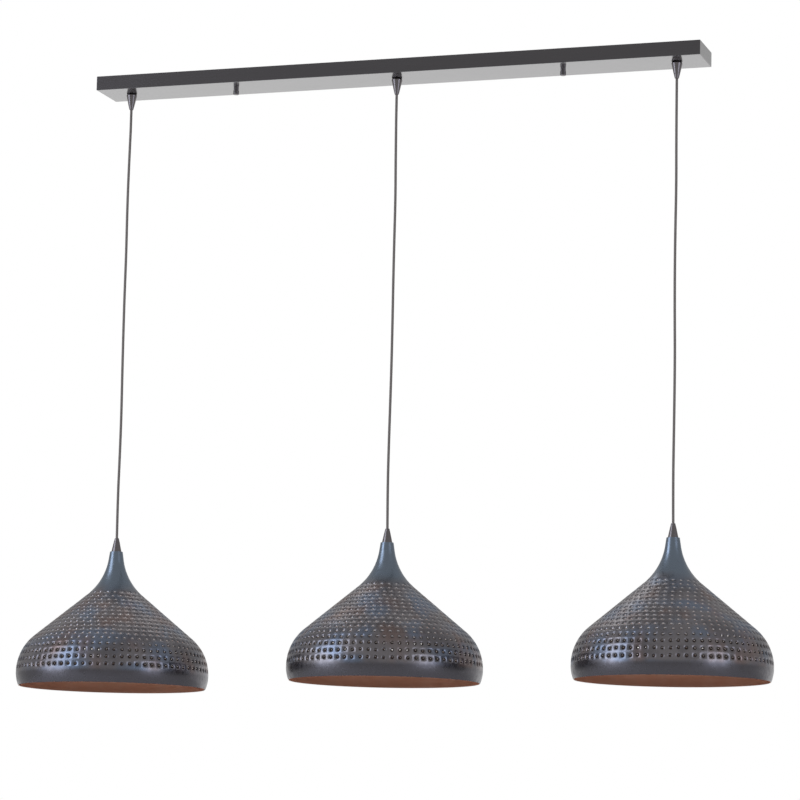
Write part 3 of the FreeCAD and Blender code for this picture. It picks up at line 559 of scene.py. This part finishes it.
def punched_shade(name, x, rim, seed):
    """The whole shade in one mesh: outer face, inner face, the edges of the holes and the seat."""
    chance = np.random.default_rng(seed)
    spots = []
    faces = []
    holes = []

    def ring(count, start, run_at):
        first = len(spots)
        for k in range(count):
            angle = start + 2 * math.pi * k / count
            spots.append((angle, run_at(angle), 0.0, 0.0))
        return list(range(first, first + count))

    # The smooth band from the rim to the lowest row of holes
    rows = punched_rows(chance)
    band_end = rows[0][0] - rows[0][1] * CELL_SHARE / 2
    rings = [ring(CELL_STEPS * BELLY_COUNT, rows[0][3], lambda angle, level=level: level)
             for level in np.linspace(0, band_end, RIM_BANDS)[:-1]]
    for low, high in zip(rings, rings[1:]):
        faces += join_rings(low, high, spots)
    below = rings[-1]

    # Each row is a ring of cells, and each cell sinks in a dent with a hole
    for run, gap, count, start, share, phases, radius in rows:
        sway = ROW_SWAY[0] + (ROW_SWAY[1] - ROW_SWAY[0]) * share
        sway *= math.sin(math.pi * min(1, share + 0.15))
        half_high = gap * CELL_SHARE / 2

        def stray(angle):
            return sway * (math.sin(2 * angle + phases[0]) + math.sin(3 * angle + phases[1])
                           + 0.5 * math.sin(7 * angle + phases[2]))

        lower = ring(CELL_STEPS * count, start, lambda angle: run - half_high + stray(angle))
        upper = ring(CELL_STEPS * count, start, lambda angle: run + half_high + stray(angle))
        side_low = ring(count, start, lambda angle: run - half_high / CELL_STEPS + stray(angle))
        side_high = ring(count, start, lambda angle: run + half_high / CELL_STEPS + stray(angle))
        faces += join_rings(below, lower, spots)
        for column in range(count):
            after = (column + 1) % count
            corners = [CELL_STEPS * column + k for k in range(CELL_STEPS)] + [CELL_STEPS * after]
            border = [lower[k] for k in corners] + [side_low[after], side_high[after]]
            border += [upper[k] for k in reversed(corners)] + [side_high[column], side_low[column]]
            middle = start + 2 * math.pi * (column + 0.5) / count
            across, up = chance.normal(0, PLACE_ERROR, 2).clip(-LARGEST_ERROR, LARGEST_ERROR)
            dent = (LOWEST_DENT + (HIGHEST_DENT - LOWEST_DENT) * share) * chance.uniform(*DENT_SPREAD)
            dent = min(dent, half_high - abs(up) - DENT_MARGIN)
            level = run + stray(middle) + up
            for reach, sink in DENT_RINGS:
                first = len(spots)
                for k in range(HOLE_SIDES):
                    turn = 2 * math.pi * k / HOLE_SIDES - 0.75 * math.pi
                    spots.append((middle + (across + dent * reach * math.cos(turn)) / radius,
                                  level + dent * reach * math.sin(turn), dent * DENT_DEPTH * sink, sink))
                inner = list(range(first, first + HOLE_SIDES))
                faces += join_loops(border, inner)
                border = inner
            holes.append(border)
        below = upper

    # The smooth neck, up to its top edge
    cells_end = rows[-1][0] + rows[-1][1] * CELL_SHARE / 2
    seat_run = np.interp(SHADE_CORNERS[-1][1] - SEAT_DEPTH - SEAT_SHEET, outline[:, 1], runs)
    for level in list(np.linspace(cells_end, seat_run, NECK_BANDS)[1:]) + [runs[-1]]:
        seat_ring, below = below, ring(len(below), rows[-1][3], lambda angle: level)
        faces += join_rings(seat_ring, below, spots)
    top_ring = below

    # The inner face follows the outer one, a sheet's thickness further in
    angle, run, depth, sink = np.array(spots).T
    radius, height, out, up = on_outline(run)
    count = len(spots)
    points = [(a, r - o * d, h - u * d) for d_more in (0, SHEET) for a, r, h, o, u, d in
              zip(angle, radius, height, out, up, depth + d_more)]
    faces_inside = [tuple(k + count for k in reversed(face)) for face in faces[:-len(top_ring)]]
    edges = []
    for loop in holes + [rings[0]]:
        edges += join_loops([k + count for k in loop], loop)

    # The seat closes the neck just under its top edge
    dents = list(sink) * 2
    top, wall = SHADE_CORNERS[-1][1], points[top_ring[0]][1] - SHEET
    low = [k + count for k in seat_ring]
    for radius, height in ((SEAT_HOLE, top - SEAT_DEPTH - SEAT_SHEET), (SEAT_HOLE, top - SEAT_DEPTH),
                           (wall + SEAT_PLAY, top - SEAT_DEPTH), (wall, top)):
        high = list(range(len(points), len(points) + len(low)))
        points += [(points[k][0], radius, height) for k in low]
        dents += [0.0] * len(low)
        faces_inside += join_loops(low, high)
        low = high
    faces_inside += join_loops(low, top_ring)

    places = [(r * math.sin(a), -r * math.cos(a), z) for a, r, z in points]
    return sheet_object(name, [(x + u, v, rim + z) for u, v, z in places],
                        faces, faces_inside, edges, dents, places)


def ramp(tree, source, low, high, to_low=0.0, to_high=1.0):
    """A smooth step from one value to another."""
    return add_node(tree, "ShaderNodeMapRange", {
        "interpolation_type": "SMOOTHSTEP", "From Min": low, "From Max": high,
        "To Min": to_low, "To Max": to_high}, {"Value": source}).outputs[0]


def both(tree, one, other):
    """The product of two outputs."""
    return add_node(tree, "ShaderNodeMath", {"operation": "MULTIPLY"}, {0: one, 1: other}).outputs[0]


def shade_place(tree):
    """Where a point lies on its own shade, and how high above its rim."""
    place = add_node(tree, "ShaderNodeAttribute", {"attribute_name": "place"}).outputs["Vector"]
    return place, add_node(tree, "ShaderNodeSeparateXYZ", links={"Vector": place}).outputs["Z"]


# Heights above the rim, in metres, between which the shade's colours change
NECK_TONE = (0.155, 0.185)
BAND_TONE = (0.026, 0.018)
LOW_ROWS = (0.13, 0.06)
HIGH_ROWS = (0.055, 0.085)
PAINTED_INSIDE_SHADE = (0.025, 0.05)

patina, tree, shader = new_material("blue_grey_patina")
shader.inputs["Metallic"].default_value = 1.0
dent = add_node(tree, "ShaderNodeAttribute", {"attribute_name": "dent"}).outputs["Fac"]
height = shade_place(tree)[1]
grey = ramp(tree, noise(tree, (60, 60, 45), 3.0), 0.38, 0.62)
blue = ramp(tree, noise(tree, (60, 60, 40), 1.0), 0.45, 0.7, 0.0, 0.6)
brown = ramp(tree, noise(tree, (40, 40, 90), 2.0), 0.48, 0.7, 0.0, 0.4)
# Painted shade: the sunk middles of the dents in the lower rows are painted nearly black.
painted_dent_shade = both(tree, ramp(tree, dent, 0.2, 0.9), ramp(tree, height, *LOW_ROWS))
# Painted glint: the sunk middles of the dents in the upper rows are painted pale, as light caught at their
# holes.
painted_glint = both(tree, ramp(tree, dent, 0.5, 0.95), ramp(tree, height, *HIGH_ROWS))
colour = blend_colour(tree, grey, "#6c696d", "#7d797c")
for share, over in ((blue, "#6c7c93"), (brown, "#84685c"), (ramp(tree, height, *NECK_TONE), "#75808d"),
                    (ramp(tree, height, *BAND_TONE), "#5c5a5f"), (painted_dent_shade, "#2a2320"), (painted_glint, "#c4c2c6")):
    colour = blend_colour(tree, share, colour, over)
paint(tree, shader, colour)
tree.links.new(ramp(tree, noise(tree, (9, 9, 9), 3.0), 0.3, 0.7, 0.24, 0.36), shader.inputs["Roughness"])
emboss(tree, shader, noise(tree, (7, 7, 7), 1.0), 0.15, 0.0006)

copper, tree, shader = new_material("bare_copper")
shader.inputs["Metallic"].default_value = 0.5
shader.inputs["Roughness"].default_value = 0.42
place, height = shade_place(tree)
bright = blend_colour(tree, noise(tree, (30, 30, 12), 3.0, place), "#dc9a7c", "#e8af94")
# Painted shade: above the lowest 25 to 50 mm inside, the copper is painted dark brown as the shade deeper
# in the hollow.
paint(tree, shader, blend_colour(tree, ramp(tree, height, *PAINTED_INSIDE_SHADE), bright, "#4c3a33"))

cut_edge, tree, shader = new_material("bright_punched_edge")
shader.inputs["Metallic"].default_value = 1.0
shader.inputs["Roughness"].default_value = 0.2
place = shade_place(tree)[0]
paint(tree, shader, blend_colour(tree, noise(tree, (14, 14, 14), 3.0, place), "#d9cdc6", "#f3ece6"))

for seed, side in enumerate(("left", "centre", "right"), start=1):
    low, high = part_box(f"shade_{side}")
    shade = punched_shade(f"punched_shade_{side}", (low.x + high.x) / 2, low.z, seed)
    for material in (patina, copper, cut_edge):
        shade.data.materials.append(material)
    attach(shade, f"pendant_{side}")
    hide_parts(f"shade_{side}")
